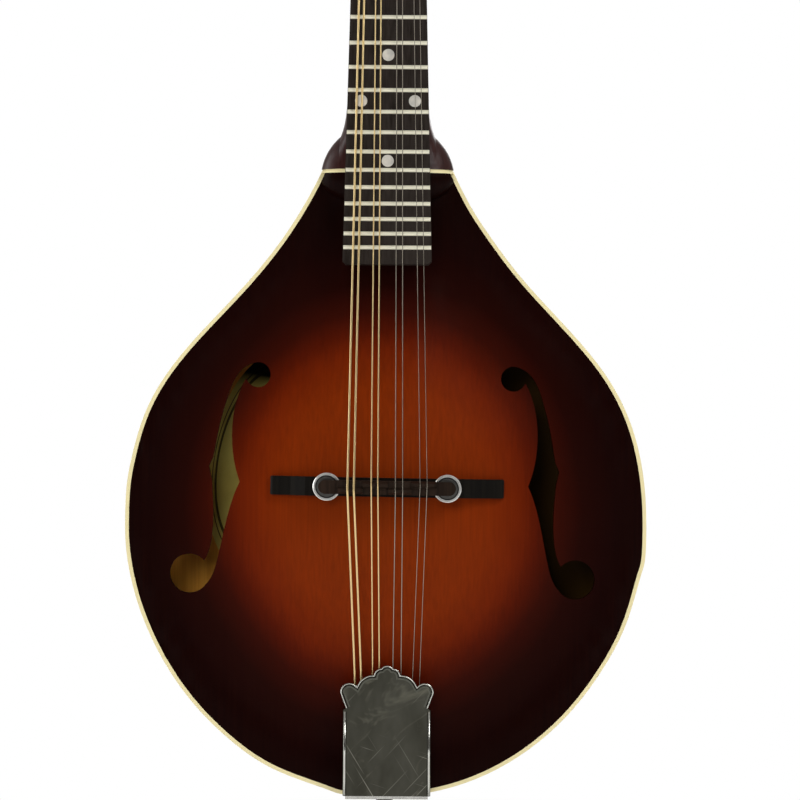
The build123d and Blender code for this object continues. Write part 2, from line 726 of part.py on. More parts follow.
def thumbwheel(x):
    """A flat nut with a finely knurled edge and chamfered faces."""
    disc = chamfer(Cylinder(WHEEL_R, WHEEL).edges().filter_by(GeomType.CIRCLE), 0.35)
    wheel = disc - Cylinder(STUD_R + 0.06, 9)
    for k in range(KNURLS):
        wheel -= Rot(0, 0, 360 / KNURLS * k) * Pos(WHEEL_R + 0.12, 0, 0) * Cylinder(0.32, WHEEL - 0.8)
    return on_bridge(Pos(0, 0, WHEEL_Z + WHEEL / 2) * wheel, x)


def bearing(i):
    """Where string i crosses the saddle."""
    _, _, _, x, _, forward = STRINGS[i]
    return BRIDGE_SHIFT + x, BRIDGE_Y + x * math.tan(math.radians(F_TURN)) + forward


def saddle():
    body = prism(SlotOverall(65, 6.5), SADDLE_Z, 50.6)
    middle = prism(RectangleRounded(47.5, 6.5, 1.5), 50, 52.6)
    shape = body + middle
    crests = ((-23.2, -11.5, -1.5), (-11.5, 0.5, 1.2), (0.5, 11.6, -1.5), (11.6, 23.2, 1.7))
    for low, high, forward in crests:
        side = [(forward - 1.9, 52), (forward - 0.7, STRING_Z - 0.3), (forward + 0.7, STRING_Z - 0.3),
                (forward + 1.9, 52)]
        crest = extrude(make_face(Plane.YZ * Polyline(*side, close=True)), amount=high - low, dir=(1, 0, 0))
        shape += Pos(low, 0, 0) * crest
    shape &= block((-40, 40), (-3.25, 3.25), (0, 80))
    for x in (-STUD_X, STUD_X):
        shape -= Pos(x, 0, SADDLE_Z) * Cylinder(STUD_R + 0.06, 7.8)
    return on_bridge(shape)


# ---------------------------------------------------------------- strings
def along(place, x, y, z):
    """A point given in some frame, as a bench point."""
    return (place * Pos(x, y, z)).position


def string_paths():
    """Each string's bends, hook to post, and its radius."""
    paths = []
    for i, (_, radius, x_nut, _, x_tail, _) in enumerate(STRINGS):
        x_bridge, y_bridge = bearing(i)
        x_post, u = post_place(i)
        side = 1 if x_post > 0 else -1
        inner = x_post - side * (coil_radius(i) + radius + 0.3)
        paths.append([
            Vector(TAIL_SHIFT + x_tail, HOOK_Y + 1.0 + radius, HOOK_Z + radius),
            Vector(x_bridge, y_bridge, STRING_Z + radius),
            along(NECK, x_nut, 0.0, 1.1 + radius),
            along(NECK, x_nut, NUT, 1.0 + radius),
            radius,
            along(HEADSTOCK, inner, u, COIL_W),
        ])
    return paths


def wire_between(start, end, radius, extra=0.0):
    way = (end - start).normalized()
    plane = Plane(origin=start - way * extra, z_dir=way)
    return extrude(plane * Circle(radius), amount=(end - start).length + 2 * extra)


def string(i):
    hook, over_bridge, nut_front, nut_back, radius, end = string_paths()[i]
    path = Polyline(hook, over_bridge, nut_front, nut_back, end)
    return sweep(Plane(origin=hook, z_dir=path % 0) * Circle(radius), path=path, transition=Transition.RIGHT)


# ---------------------------------------------------------------- tailpiece
COVER_FRAME = Pos(TAIL_SHIFT, 58, 38) * Rot(3, 0, 0)
COVER_X = 20.9


def tailpiece_base():
    plate = block((-17, 17), (-1.2, 0), (-17, 24.0)) + block((-19.8, 19.8), (-1.2, 33), (22.9, 24.0))
    for x in (-19.35, 19.35):
        plate += block((x - 0.45, x + 0.45), (3, 33), (23.5, 33.2))
    for row in STRINGS:
        plate += Pos(row[4], HOOK_Y, 26.6) * Cylinder(1.0, 6.0)
    plate = Pos(TAIL_SHIFT, 0, 0) * plate
    plate -= Rot(90, 0, 0) * Cylinder(BUTTON_SHANK, 10)
    return drilled(plate, TAIL_SCREWS)


def tailpiece_cover():
    """A sliding cover: a sheet with a scrolled front edge and turned-down sides."""
    half = [
        ThreePointArc((0, 5.9), (1.6, 5.5), (2.8, 4.5)),
        ThreePointArc((2.8, 4.5), (5.2, 3.5), (6.3, 1.3)),
        ThreePointArc((6.3, 1.3), (11.4, -0.3), (14.3, -4.3)),
        ThreePointArc((14.3, -4.3), (18.9, -2.6), (22.2, -7.0)),
        Line((22.2, -7.0), (19.4, -14.6)),
        Line((19.4, -14.6), (COVER_X, -15.6)),
        Line((COVER_X, -15.6), (COVER_X, -56.6)),
        Line((COVER_X, -56.6), (0, -56.6)),
        Line((0, -56.6), (0, 5.9)),
    ]
    face = make_face(half)
    sheet = extrude(face + mirror(face, Plane.YZ), amount=0.9, dir=(0, 0, -1))
    for side in (-1, 1):
        x = side * (COVER_X - 0.45)
        sheet += block((x - 0.45, x + 0.45), (-56.6, -16.0), (-10.4, -0.5))
    sheet += block((-18.6, 18.6), (-56.6, -55.8), (-9.4, -0.5))
    bends = sheet.edges().group_by(Axis.Z)[-1].filter_by(Axis.Y)
    return COVER_FRAME * fillet(bends, 1.3)


def strap_button():
    y = BUTTON_HEAD_Y
    side = [(0, 13.0), (BUTTON_SHANK, 13.0), (BUTTON_SHANK, -1.2), (6.6, -1.2), (6.6, -2.4),
            (4.0, -4.0), (4.0, y + 3.2), (6.5, y + 2.4), (7.3, y + 1.4), (7.3, y - 1.4), (6.3, y - 2.4),
            (3.0, y - 2.9), (0, y - 3.0)]
    return revolve(make_face(Polyline(*side, close=True)), axis=Axis.Y)


# ---------------------------------------------------------------- all the pieces
def build():
    rib_bass, rib_treble = ribs()
    pieces = {
        "top_plate": top_plate(),
        "back_plate": back_plate(),
        "rib_bass": rib_bass,
        "rib_treble": rib_treble,
        "neck_block": neck_block(),
        "tail_block": tail_block(),
        "linings": linings(),
        "tone_bars": tone_bars(),
        "front_binding": front_binding(),
        "back_binding": back_binding(),
        "label": label(),
        "neck": neck(),
        "heel_cap": heel_cap(),
        "fingerboard": fingerboard(),
        "frets": [fret(number) for number in range(1, FRETS + 1)],
        "position_dots": position_dots(),
        "nut": nut(),
        "truss_rod": truss_rod(),
        "truss_rod_nut": truss_rod_nut(),
        "truss_rod_cover": truss_rod_cover(),
        "head_veneer": head_veneer(),
        "post_bushings": post_bushings(),
        "tuner_plate_bass": tuner_plate(-1),
        "tuner_plate_treble": tuner_plate(1),
        "wood_screws": [place * screw() for place in ALL_SCREWS],
        "bridge_base": bridge_base(),
        "bridge_posts": bridge_posts(),
        "saddle": saddle(),
        "thumbwheel_bass": thumbwheel(-STUD_X),
        "thumbwheel_treble": thumbwheel(STUD_X),
        "wound_strings": [string(i) for i in range(4)],
        "plain_strings": [string(i) for i in range(4, 8)],
        "tailpiece_base": tailpiece_base(),
        "tailpiece_cover": tailpiece_cover(),
        "strap_button": strap_button(),
    }
    for i in range(8):
        pieces[f"worm_shaft_{i + 1}"] = worm_shaft(i)
        pieces[f"tuner_button_{i + 1}"] = tuner_button(i)
        pieces[f"string_post_{i + 1}"] = string_post(i)
    return pieces


os.makedirs("parts", exist_ok=True)
for name, shape in build().items():
    save(name, shape)
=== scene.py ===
import math

import bpy
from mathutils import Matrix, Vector


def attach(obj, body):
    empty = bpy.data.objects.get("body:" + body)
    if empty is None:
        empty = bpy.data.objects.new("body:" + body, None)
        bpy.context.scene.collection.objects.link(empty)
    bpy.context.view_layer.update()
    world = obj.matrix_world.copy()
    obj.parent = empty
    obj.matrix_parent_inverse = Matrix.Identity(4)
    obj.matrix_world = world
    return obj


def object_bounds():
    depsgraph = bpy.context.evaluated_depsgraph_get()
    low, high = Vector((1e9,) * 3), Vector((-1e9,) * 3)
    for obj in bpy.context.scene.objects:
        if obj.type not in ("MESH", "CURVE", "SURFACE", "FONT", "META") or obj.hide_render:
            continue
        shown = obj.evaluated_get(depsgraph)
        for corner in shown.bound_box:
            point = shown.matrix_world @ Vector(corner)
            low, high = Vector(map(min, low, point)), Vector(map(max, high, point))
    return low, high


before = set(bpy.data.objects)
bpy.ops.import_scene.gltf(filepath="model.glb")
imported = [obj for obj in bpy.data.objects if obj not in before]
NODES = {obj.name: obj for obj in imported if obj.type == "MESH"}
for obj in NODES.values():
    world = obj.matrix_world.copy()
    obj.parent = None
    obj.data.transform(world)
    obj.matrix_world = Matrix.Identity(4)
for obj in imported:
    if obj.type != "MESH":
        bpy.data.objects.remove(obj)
CAD_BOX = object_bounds()

# ---------------------------------------------------------------- the part's frame, in metres
RISE = 0.0105                 # the strap button's head is this far below the tail end


def place(x, y, z):
    """A point given in mm as x, height up the body and height out of the top, in the part's frame."""
    return Vector((x / 1000, -z / 1000, y / 1000 + RISE))


# ---------------------------------------------------------------- node helpers
class Shade:
    """Builds one node material."""

    def __init__(self, name, metallic=0.0, roughness=0.5, specular=0.5):
        self.material = bpy.data.materials.new(name)
        self.material.use_nodes = True
        self.tree = self.material.node_tree
        self.tree.nodes.clear()
        self.out = self.tree.nodes.new("ShaderNodeOutputMaterial")
        self.bsdf = self.tree.nodes.new("ShaderNodeBsdfPrincipled")
        self.tree.links.new(self.bsdf.outputs[0], self.out.inputs[0])
        self.bsdf.inputs["Metallic"].default_value = metallic
        self.bsdf.inputs["Roughness"].default_value = roughness
        self.bsdf.inputs["Specular IOR Level"].default_value = specular
        self.coords = self.node("ShaderNodeTexCoord").outputs["Object"]

    def node(self, kind, **settings):
        made = self.tree.nodes.new(kind)
        for key, value in settings.items():
            setattr(made, key, value)
        return made

    def put(self, socket, value):
        """Links a socket, or sets a constant."""
        if hasattr(value, "is_output"):
            self.tree.links.new(value, socket)
        else:
            socket.default_value = value

    def mapped(self, scale=(1, 1, 1), turn=(0, 0, 0), move=(0, 0, 0), source=None):
        made = self.node("ShaderNodeMapping")
        self.put(made.inputs["Vector"], source or self.coords)
        made.inputs["Scale"].default_value = scale
        made.inputs["Rotation"].default_value = turn
        made.inputs["Location"].default_value = move
        return made.outputs[0]

    def noise(self, vector, scale=5.0, detail=3.0, rough=0.5, twist=0.0):
        made = self.node("ShaderNodeTexNoise")
        self.put(made.inputs["Vector"], vector)
        made.inputs["Scale"].default_value = scale
        made.inputs["Detail"].default_value = detail
        made.inputs["Roughness"].default_value = rough
        made.inputs["Distortion"].default_value = twist
        return made.outputs[0]

    def wave(self, vector, scale=5.0, twist=0.0, detail=2.0, detail_scale=1.0, axis="X"):
        made = self.node("ShaderNodeTexWave", wave_type="BANDS", bands_direction=axis)
        self.put(made.inputs["Vector"], vector)
        made.inputs["Scale"].default_value = scale
        made.inputs["Distortion"].default_value = twist
        made.inputs["Detail"].default_value = detail
        made.inputs["Detail Scale"].default_value = detail_scale
        return made.outputs[1]

    def voronoi(self, vector, scale=5.0, feature="F1", spread=1.0):
        made = self.node("ShaderNodeTexVoronoi", feature=feature)
        self.put(made.inputs["Vector"], vector)
        made.inputs["Scale"].default_value = scale
        made.inputs["Randomness"].default_value = spread
        return made.outputs[0]

    def math(self, how, a, b=0.0, c=None):
        made = self.node("ShaderNodeMath", operation=how)
        self.put(made.inputs[0], a)
        self.put(made.inputs[1], b)
        if c is not None:
            self.put(made.inputs[2], c)
        return made.outputs[0]

    def axes(self, source=None):
        made = self.node("ShaderNodeSeparateXYZ")
        self.put(made.inputs[0], source or self.coords)
        return made.outputs

    def ramp(self, value, stops, mode="LINEAR"):
        made = self.node("ShaderNodeValToRGB")
        made.color_ramp.interpolation = mode
        points = made.color_ramp.elements
        while len(points) < len(stops):
            points.new(0.5)
        for point, (where, colour) in zip(points, stops):
            point.position = where
            point.color = (*colour, 1) if len(colour) == 3 else colour
        self.put(made.inputs[0], value)
        return made.outputs[0]

    def span(self, value, low, high, to_low=0.0, to_high=1.0):
        made = self.node("ShaderNodeMapRange")
        self.put(made.inputs["Value"], value)
        made.inputs["From Min"].default_value = low
        made.inputs["From Max"].default_value = high
        made.inputs["To Min"].default_value = to_low
        made.inputs["To Max"].default_value = to_high
        return made.outputs[0]

    def mix(self, share, a, b):
        made = self.node("ShaderNodeMix", data_type="RGBA")
        for index, value in ((0, share), (6, a), (7, b)):
            if isinstance(value, tuple) and len(value) == 3:
                value = (*value, 1)
            self.put(made.inputs[index], value)
        return made.outputs[2]

    def bump(self, height, strength=0.2, distance=0.0002, under=None):
        made = self.node("ShaderNodeBump")
        made.inputs["Strength"].default_value = strength
        made.inputs["Distance"].default_value = distance
        self.put(made.inputs["Height"], height)
        if under is not None:
            self.put(made.inputs["Normal"], under)
        return made.outputs[0]

    def finish(self, colour=None, roughness=None, normal=None, metallic=None):
        for name, value in (("Base Color", colour), ("Roughness", roughness), ("Normal", normal),
                            ("Metallic", metallic)):
            if value is None:
                continue
            if isinstance(value, tuple) and len(value) == 3:
                value = (*value, 1)
            self.put(self.bsdf.inputs[name], value)
        return self.material


def srgb(r, g, b):
    """A colour given as 0 to 255 display values, as linear light."""
    def one(v):
        v /= 255
        return v / 12.92 if v <= 0.04045 else ((v + 0.055) / 1.055) ** 2.4
    return one(r), one(g), one(b)


def dress(names, material):
    for name in names:
        slots = NODES[name].data.materials
        if len(slots) == 0:
            slots.append(material)
        for index in range(len(slots)):
            slots[index] = material


# ---------------------------------------------------------------- materials
def burst_value(s):
    """Distance in mm from the middle of the sunburst, taller than it is wide, a little uneven."""
    x, _, z = s.axes()
    across = s.math("MULTIPLY", s.math("ADD", x, 0.001), 1000)
    along = s.math("MULTIPLY", s.math("SUBTRACT", z, 0.140 + RISE), 1000 / 1.13)
    square = s.math("ADD", s.math("MULTIPLY", across, across), s.math("MULTIPLY", along, along))
    cloud = s.span(s.noise(s.coords, 14, 2), 0.3, 0.7, -2, 2)
    return s.math("ADD", s.math("SQRT", square), cloud)


def facing(s, front):
    """1 on the outer face of the top (or back) and on cut edges, 0 on the face inside the box."""
    made = s.node("ShaderNodeSeparateXYZ")
    s.put(made.inputs[0], s.node("ShaderNodeTexCoord").outputs["Normal"])
    y = made.outputs[1]
    return s.span(y, 0.6, 0.4) if front else s.span(y, -0.6, -0.4)


def sunburst(name, stops, front, flame=0.0, roughness=0.40, specular=0.045):
    """A satin sunburst on one side and bare wood on the side that faces into the box, with painted shade
    darkening that bare wood towards the treble side.
    """
    s = Shade(name, roughness=roughness, specular=specular)
    burst = burst_value(s)
    colour = s.ramp(s.span(burst, 0, 130), stops)
    grain = s.noise(s.mapped((900, 900, 7)), 1.0, 3, 0.6)
    colour = s.mix(s.span(grain, 0.35, 0.75, 0.0, 0.25), colour, srgb(36, 9, 3))
    if flame:
        curl = s.wave(s.mapped((1, 1, 1), (0, 0.22, 0)), 28, 6, 3, 1.4, axis="Z")
        colour = s.mix(s.math("MULTIPLY", curl, flame), colour, srgb(30, 7, 2))
    bare = s.mix(s.span(grain, 0.3, 0.7, 0, 0.5), srgb(236, 168, 70), srgb(190, 118, 40))
    # painted shade: the bare inner wood goes dark towards the treble side, standing in for the shade inside
    # the box
    bare = s.mix(s.span(s.axes()[0], -0.03, 0.03), bare, srgb(62, 42, 14))
    outside = facing(s, front)
    rough = s.span(s.noise(s.coords, 40, 3), 0.3, 0.7, roughness - 0.05, roughness + 0.05)
    bump = s.bump(s.noise(s.coords, 220, 2), 0.05, 0.0002)
    bump = s.bump(grain, 0.05, 0.0001, bump)
    return s.finish(s.mix(outside, bare, colour), rough, bump)


def wood(name, light, dark, roughness=0.5, specular=0.3, along=9, across=700, share=0.9):
    """Wood with its grain running up the body."""
    s = Shade(name, roughness=roughness, specular=specular)
    grain = s.noise(s.mapped((across, across, along)), 1.0, 4, 0.65)
    tint = s.noise(s.mapped((30, 30, 12)), 1.0, 2)
    colour = s.mix(s.span(grain, 0.35, 0.68, 0, share), light, dark)
    colour = s.mix(s.span(tint, 0.4, 0.75, 0, 0.4), colour, tuple(c * 1.5 for c in light))
    return s.finish(colour, s.span(grain, 0.3, 0.7, roughness + 0.06, roughness - 0.06),
                    s.bump(grain, 0.12, 0.0001))


def metal(name, colour, roughness=0.25, worn=0.15, scale=90, share=1.0):
    """Plated metal with a faint cloud of wear and fine scratches."""
    s = Shade(name, share, roughness)
    cloud = s.noise(s.coords, scale, 3)
    lines = s.noise(s.mapped((2400, 2400, 160), (0.3, 0.5, 0.2)), 1.0, 2)
    shade = s.mix(s.span(cloud, 0.35, 0.7, 0, worn), colour, tuple(c * 0.45 for c in colour))
    return s.finish(shade, s.span(lines, 0.35, 0.7, roughness - 0.05, roughness + 0.1),
                    s.bump(lines, 0.04, 0.00005))


def molded(name, colour, roughness=0.35, specular=0.5, fleck=0.12, scale=70):
    """Plastic, bone or lacquer: nearly even, with a faint mottle."""
    s = Shade(name, roughness=roughness, specular=specular)
    cloud = s.noise(s.coords, scale, 3)
    shade = s.mix(s.span(cloud, 0.3, 0.7, 0, fleck), colour, tuple(c * 0.6 for c in colour))
    return s.finish(shade, s.span(cloud, 0.3, 0.7, roughness - 0.04, roughness + 0.06),
                    s.bump(s.noise(s.coords, scale * 8, 2), 0.03, 0.00005))


# turn in radians, fineness across and along a scratch, and the noise level above which it shows
SCRATCHES = ((-0.75, 1100, 22, 0.70), (1.25, 1500, 40, 0.72), (0.55, 900, 16, 0.71))


def cover_metal():
    """Dull plated sheet: blotchy, with long scratches across it."""
    s = Shade("cover_metal", 1.0, 0.34)
    cloud = s.noise(s.mapped((1, 1, 0.5)), 60, 3, 0.6)
    shade = s.mix(s.span(cloud, 0.35, 0.7), srgb(66, 65, 57), srgb(92, 91, 82))
    marks = 0.0
    for turn, across, along, least in SCRATCHES:
        line = s.noise(s.mapped((across, 1, along), source=s.mapped(turn=(0, turn, 0))), 1.0, 1)
        marks = s.math("MAXIMUM", marks, s.span(line, least, least + 0.08))
    haze = s.noise(s.mapped((30, 1, 60), source=s.mapped(turn=(0, 0.6, 0))), 1.0, 3, 0.7, 1.5)
    shade = s.mix(s.span(haze, 0.55, 0.72, 0, 0.5), shade, srgb(140, 138, 122))
    shade = s.mix(s.math("MULTIPLY", marks, 0.55), shade, srgb(190, 188, 174))
    return s.finish(shade, s.span(cloud, 0.3, 0.7, 0.26, 0.42), s.bump(marks, 0.15, 0.00004))


# the bridge: its middle, the reach out to each wheel, its height up the body, and its slope across
BRIDGE_MIDDLE, WHEEL_REACH, BRIDGE_HEIGHT, BRIDGE_SLOPE = 0.0006, 0.0286, 0.1486, 0.0122


def wheel_metal():
    """Painted highlight on a bright rim, a fine dark line of painted shade, and a duller turned face inside
    it.
    """
    s = Shade("wheel_nickel", 0.85, 0.28)
    x, _, z = s.axes()
    u = s.math("SUBTRACT", s.math("ABSOLUTE", s.math("SUBTRACT", x, BRIDGE_MIDDLE)), WHEEL_REACH)
    v = s.math("ADD", s.math("SUBTRACT", z, BRIDGE_HEIGHT + RISE), s.math("MULTIPLY", x, BRIDGE_SLOPE))
    r = s.math("SQRT", s.math("ADD", s.math("MULTIPLY", u, u), s.math("MULTIPLY", v, v)))
    turned = s.math("SINE", s.math("MULTIPLY", r, 30000))
    # the rim colour is a painted highlight and the fine dark line is painted shade, both set by distance
    # from each wheel's middle
    face, line, rim = srgb(118, 116, 112), srgb(30, 29, 28), srgb(246, 245, 240)
    shade = s.ramp(s.math("MULTIPLY", r, 100), [
        (0.0, srgb(96, 94, 90)), (0.47, face), (0.50, srgb(34, 33, 31)), (0.535, line),
        (0.55, rim), (1.0, rim)])
    return s.finish(shade, 0.28, s.bump(turned, 0.05, 0.00003))


def wound():
    """Bronze wrapped round a core: fine rings along the string."""
    s = Shade("wound_bronze", 1.0, 0.32)
    rings = s.wave(s.coords, 600, 0, 0, 1, axis="Z")
    shade = s.mix(s.math("MULTIPLY", rings, 0.25), srgb(255, 228, 168), srgb(200, 158, 96))
    return s.finish(shade, 0.32, s.bump(rings, 0.35, 0.00006))


def pearl():
    s = Shade("pearl_dot", roughness=0.22, specular=0.6)
    cells = s.voronoi(s.coords, 420)
    cloud = s.noise(s.coords, 260, 3)
    shade = s.mix(s.span(cloud, 0.35, 0.65, 0, 0.8), srgb(220, 216, 204), srgb(178, 178, 172))
    return s.finish(s.mix(s.math("MULTIPLY", cells, 0.3), shade, srgb(222, 206, 196)), 0.22,
                    s.bump(cells, 0.04, 0.00005))


# the label: its middle, its turn in degrees and its half width and half height
LABEL_X, LABEL_Y, LABEL_TURN, LABEL_A, LABEL_B = -0.0593, 0.1593, -10.3, 0.0276, 0.055


def label_paper():
    """Aged paper with a double line round its oval edge, and painted shadow darkening its upper end."""
    s = Shade("label_paper", roughness=0.85, specular=0.1)
    x, _, z = s.axes()
    turn = math.radians(LABEL_TURN)
    dx, dz = s.math("SUBTRACT", x, LABEL_X), s.math("SUBTRACT", z, LABEL_Y + RISE)
    u = s.math("ADD", s.math("MULTIPLY", dx, math.cos(turn)), s.math("MULTIPLY", dz, math.sin(turn)))
    v = s.math("SUBTRACT", s.math("MULTIPLY", dz, math.cos(turn)), s.math("MULTIPLY", dx, math.sin(turn)))
    u, v = s.math("DIVIDE", u, LABEL_A), s.math("DIVIDE", v, LABEL_B)
    r = s.math("SQRT", s.math("ADD", s.math("MULTIPLY", u, u), s.math("MULTIPLY", v, v)))
    ink = s.ramp(r, [(0.0, (0, 0, 0)), (0.83, (1, 1, 1)), (0.865, (0, 0, 0)), (0.90, (1, 1, 1)),
                     (0.915, (0, 0, 0))], "CONSTANT")
    stain = s.noise(s.coords, 45, 4)
    paper = s.mix(s.span(stain, 0.35, 0.7, 0, 0.6), srgb(226, 210, 112), srgb(178, 152, 68))
    # painted shadow: the label's upper end goes nearly black, standing in for the shade under the top plate
    paper = s.mix(s.span(v, 0.60, 0.76), paper, srgb(12, 10, 6))
    return s.finish(s.mix(s.math("MULTIPLY", ink, 0.85), paper, srgb(30, 22, 12)), 0.85,
                    s.bump(s.noise(s.coords, 900, 2), 0.1, 0.00005))


# sunburst colours, from the middle out to 130 mm
BURST = [(0.00, srgb(136, 50, 6)), (0.38, srgb(130, 44, 4)), (0.50, srgb(112, 33, 3)),
         (0.57, srgb(84, 20, 2)), (0.64, srgb(54, 10, 2)), (0.73, srgb(32, 4, 1)), (0.85, srgb(21, 2, 1)),
         (1.0, srgb(16, 2, 1))]

TOP = sunburst("sunburst_top", BURST, True)
BACK = sunburst("sunburst_back", BURST, False, flame=0.55)
SIDE = wood("rib_stain", srgb(52, 12, 5), srgb(24, 5, 3), 0.36, 0.4, share=0.7)
BARE = wood("bare_wood", srgb(206, 160, 100), srgb(160, 112, 62), 0.65, 0.2)
NECK = wood("neck_stain", srgb(50, 14, 9), srgb(26, 8, 6), 0.34, 0.4, share=0.7)
CREAM = molded("binding_cream", srgb(252, 238, 184), 0.35, 0.3)
BUTTONS = molded("button_cream", srgb(240, 230, 196), 0.28, 0.5, 0.25, 110)
EBONY = wood("fingerboard_wood", srgb(48, 42, 38), srgb(24, 17, 13), 0.5, 0.10, 14, 900)
BRIDGE = wood("bridge_ebony", srgb(22, 19, 15), srgb(10, 8, 7), 0.45, 0.08, 14, 600)
SADDLE = wood("saddle_ebony", srgb(46, 34, 26), srgb(14, 11, 8), 0.45, 0.08, 14, 600)
NICKEL = metal("nickel", srgb(214, 212, 206), 0.22)
WHEELS = wheel_metal()
FRETS = metal("fret_nickel", srgb(255, 250, 226), 0.34, 0.0, share=0.35)
STEEL = metal("steel", srgb(176, 176, 178), 0.3)
PLAIN = metal("plain_string_steel", srgb(172, 164, 150), 0.34)
BRASS = metal("gear_brass", srgb(208, 168, 92), 0.28, 0.25)
COVER = cover_metal()
# painted highlight: a bright copy of the plated metal for the rolled edge and the side bevels
EDGE_HIGHLIGHT = metal("cover_edge", srgb(228, 228, 220), 0.2, 0.05)
# painted shade: a dark copy of the plated metal for the lines beside the bright beads
GROOVE_SHADE = metal("cover_groove_shade", srgb(26, 26, 24), 0.5, 0.2)
# painted reflection: a lighter copy of the plated metal for a band just inside the rolled edge
PAINTED_SHEEN = metal("cover_sheen", srgb(112, 112, 102), 0.4, 0.3, 200)
BRONZE = wound()
PEARL = pearl()
BONE = molded("nut_bone", srgb(232, 224, 200), 0.3, 0.5, 0.2, 120)
BLACK = molded("black_plastic", srgb(15, 15, 15), 0.3, 0.5, 0.4)
VENEER = molded("head_lacquer", srgb(12, 11, 11), 0.12, 0.5, 0.3, 40)
PAPER = label_paper()

dress(["top_plate"], TOP)
dress(["back_plate"], BACK)
dress(["rib_bass", "rib_treble"], SIDE)
dress(["neck_block", "tail_block", "linings", "tone_bars"], BARE)
dress(["neck"], NECK)
dress(["front_binding", "back_binding"], CREAM)
dress(["fingerboard", "heel_cap"], EBONY)
dress(["bridge_base"], BRIDGE)
dress(["saddle"], SADDLE)
dress(["frets"], FRETS)
dress(["position_dots"], PEARL)
dress(["nut"], BONE)
dress(["head_veneer"], VENEER)
dress(["truss_rod_cover", "strap_button"], BLACK)
dress(["post_bushings", "tuner_plate_bass", "tuner_plate_treble", "wood_screws", "tailpiece_base"], NICKEL)
dress(["thumbwheel_bass", "thumbwheel_treble"], WHEELS)
dress(["truss_rod", "truss_rod_nut", "bridge_posts"], STEEL)
dress(["plain_strings"], PLAIN)
dress(["wound_strings"], BRONZE)
dress(["tailpiece_cover"], COVER)
dress(["label"], PAPER)
for i in range(1, 9):
    dress([f"worm_shaft_{i}"], NICKEL)
    dress([f"string_post_{i}"], BRASS)
    dress([f"tuner_button_{i}"], BUTTONS)

# ---------------------------------------------------------------- the cover's scrolled edge, with painted highlight, painted shade and painted reflection
COVER_SHIFT, COVER_UP, COVER_OUT, COVER_TILT = 1.1, 58.0, 38.0, math.radians(3)
SCROLL = [((0, 5.9), (1.6, 5.5), (2.8, 4.5)), ((2.8, 4.5), (5.2, 3.5), (6.3, 1.3)),
          ((6.3, 1.3), (11.4, -0.3), (14.3, -4.3)), ((14.3, -4.3), (18.9, -2.6), (22.2, -7.0)),
          ((22.2, -7.0), (20.8, -10.8), (19.4, -14.6))]


def arc(a, b, c, steps=9):
    """Points on the circle through three points, from a up to but not including c."""
    (ax, ay), (bx, by), (cx, cy) = a, b, c
    d = 2 * (ax * (by - cy) + bx * (cy - ay) + cx * (ay - by))
    if abs(d) < 1e-6:
        return [(ax + (cx - ax) * i / steps, ay + (cy - ay) * i / steps) for i in range(steps)]
    a2, b2, c2 = ax * ax + ay * ay, bx * bx + by * by, cx * cx + cy * cy
    ux = (a2 * (by - cy) + b2 * (cy - ay) + c2 * (ay - by)) / d
    uy = (a2 * (cx - bx) + b2 * (ax - cx) + c2 * (bx - ax)) / d
    start, end = math.atan2(ay - uy, ax - ux), math.atan2(cy - uy, cx - ux)
    through = math.atan2(by - uy, bx - ux)
    sweep = (end - start) % (2 * math.pi)
    if (through - start) % (2 * math.pi) > sweep:
        sweep -= 2 * math.pi
    r = math.hypot(ax - ux, ay - uy)
    return [(ux + r * math.cos(start + sweep * i / steps), uy + r * math.sin(start + sweep * i / steps))
            for i in range(steps)]


def scroll_path():
    """The scrolled front edge, from the treble side round to the bass side."""
    half = [p for piece in SCROLL for p in arc(*piece)] + [(19.4, -14.6)]
    return half[::-1] + [(-x, y) for x, y in half[1:]]


def inward(points, distance):
    """The path moved in from the sheet's edge, with its corners kept short."""
    moved = []
    for i, (x, y) in enumerate(points):
        (ax, ay), (bx, by) = points[max(i - 1, 0)], points[min(i + 1, len(points) - 1)]
        before = Vector((x - ax, y - ay)) if i else Vector((bx - x, by - y))
        after = Vector((bx - x, by - y)) if i < len(points) - 1 else before
        n = before.normalized() + after.normalized()
        n = Vector((-n.y, n.x)).normalized()
        cos_half = max(0.75, n.dot(Vector((-before.y, before.x)).normalized()))
        moved.append((x + n.x * distance / cos_half, y + n.y * distance / cos_half))
    return moved


def on_cover(x, y, z):
    """From the cover's own drawing, in mm, to the part's frame."""
    up = COVER_UP + y * math.cos(COVER_TILT) - z * math.sin(COVER_TILT)
    out = COVER_OUT + y * math.sin(COVER_TILT) + z * math.cos(COVER_TILT)
    return place(COVER_SHIFT + x, up, out)


def bead(name, path, inset, half_width, height, material, lift=0.0, sides=8):
    """A rounded bead lying on the sheet along one of its edges."""
    rows = []
    for k in range(sides):
        t = 2 * math.pi * k / sides
        side = inward(path, inset + half_width * math.cos(t))
        rows.append([on_cover(x, y, lift + height * math.sin(t)) for x, y in side])
    n = len(path)
    verts = [rows[k][i] for i in range(n) for k in range(sides)]
    faces = [(i * sides + k, i * sides + (k + 1) % sides, (i + 1) * sides + (k + 1) % sides,
              (i + 1) * sides + k) for i in range(n - 1) for k in range(sides)]
    faces += [tuple(range(sides))[::-1], tuple((n - 1) * sides + k for k in range(sides))]
    mesh = bpy.data.meshes.new(name)
    mesh.from_pydata(verts, [], faces)
    mesh.materials.append(material)
    for polygon in mesh.polygons:
        polygon.use_smooth = True
    body = bpy.data.objects.new(name, mesh)
    bpy.context.scene.collection.objects.link(body)
    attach(body, "tailpiece_cover")
    return body


# painted highlight on the rolled edge
bead("cover_edge_bead", scroll_path(), 0.32, 0.28, 0.14, EDGE_HIGHLIGHT)
# painted shade in a line just inside the rolled edge
bead("cover_edge_line", scroll_path(), 0.95, 0.20, 0.03, GROOVE_SHADE)
